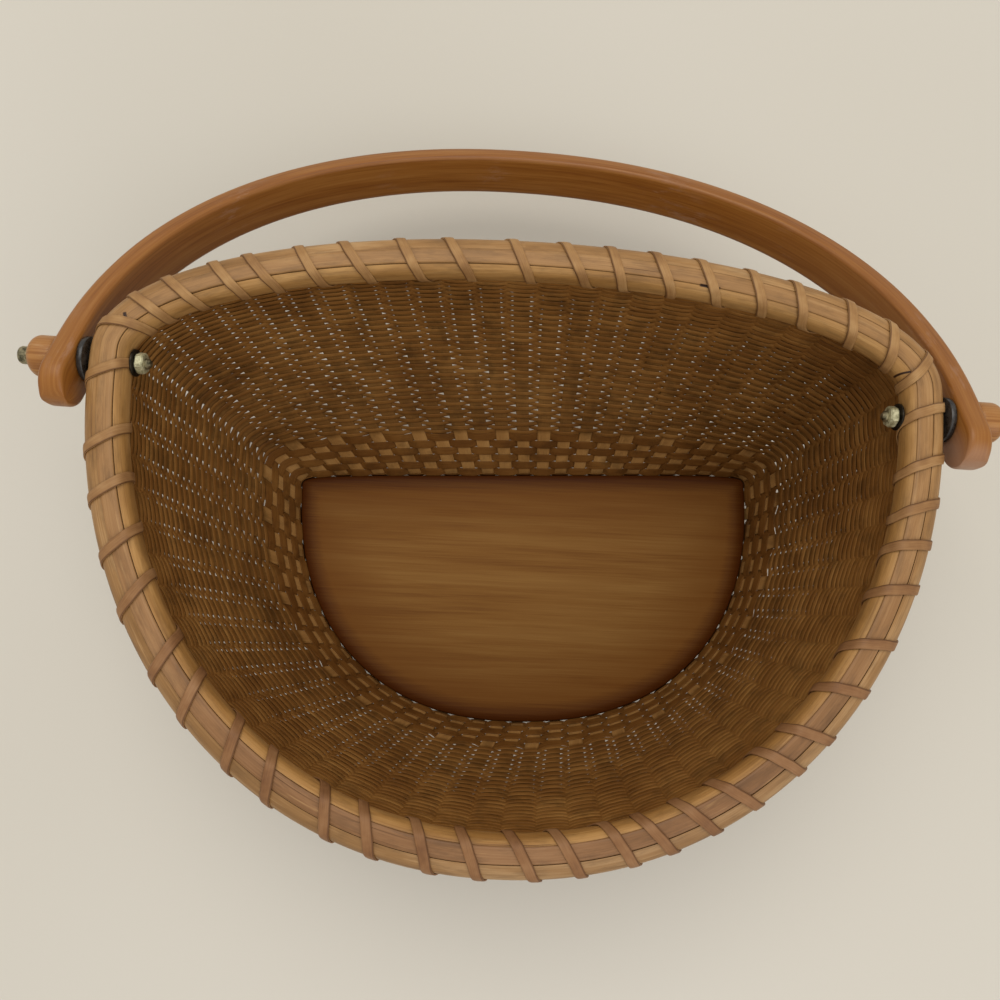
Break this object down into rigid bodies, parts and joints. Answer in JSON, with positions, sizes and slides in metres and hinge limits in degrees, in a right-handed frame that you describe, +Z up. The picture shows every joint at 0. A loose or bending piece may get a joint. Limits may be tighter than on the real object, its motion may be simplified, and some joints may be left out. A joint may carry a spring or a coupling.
{
  "type": "half-round nantucket basket",
  "caption": "Half-round woven cane basket with a flat back, a D-shaped wooden base, a cane-lashed double hoop rim and a bent wooden swing handle.",
  "frame": {"origin": "middle of the base plate's underside, where the basket stands", "axes": "+X along the rim's longer side, from its left to its right, which the handle's bolts follow within 1.3 degrees; +Y towards the flat back; +Z up"},
  "size_m": [0.4018, 0.3376, 0.1423],
  "materials": {
    "base_wood": "varnished honey-brown wood, darker at the edge",
    "stave_cane": "aged brown cane",
    "weave_cane": "aged brown woven cane",
    "rim_wood": "light tan half-round rattan",
    "lashing_cane": "pinkish-brown split cane",
    "handle_wood": "worn orange-brown varnished wood",
    "bolt_metal": "tarnished, greenish",
    "spacer_black": "black",
    "washer_dark": "blackened",
    "nut_brass": "pale tarnished brass"
  },
  "bodies": {
    "basket": {"base_plate": "base_wood", "staves_back": "stave_cane", "staves_left": "stave_cane", "staves_right": "stave_cane", "staves_front": "stave_cane", "wide_weave": "weave_cane", "fine_weave": "weave_cane", "inner_hoop": "rim_wood", "outer_hoop": "rim_wood", "rim_cap": "rim_wood", "rim_lashing": "lashing_cane", "left_knob": "handle_wood", "left_bolt": "bolt_metal", "left_spacer": "spacer_black", "left_inner_washer": "washer_dark", "left_nut": "nut_brass", "right_knob": "handle_wood", "right_bolt": "bolt_metal", "right_spacer": "spacer_black", "right_inner_washer": "washer_dark", "right_nut": "nut_brass"},
    "handle": {"handle": "handle_wood"}
  },
  "joints": [
    {"name": "handle_swing", "type": "hinge", "parent": "basket", "child": "handle", "pos_m": [-0.012, 0.0767, 0.1261], "axis": [0.9997, -0.0227, 0], "range_deg": [-12, 190]}
  ]
}
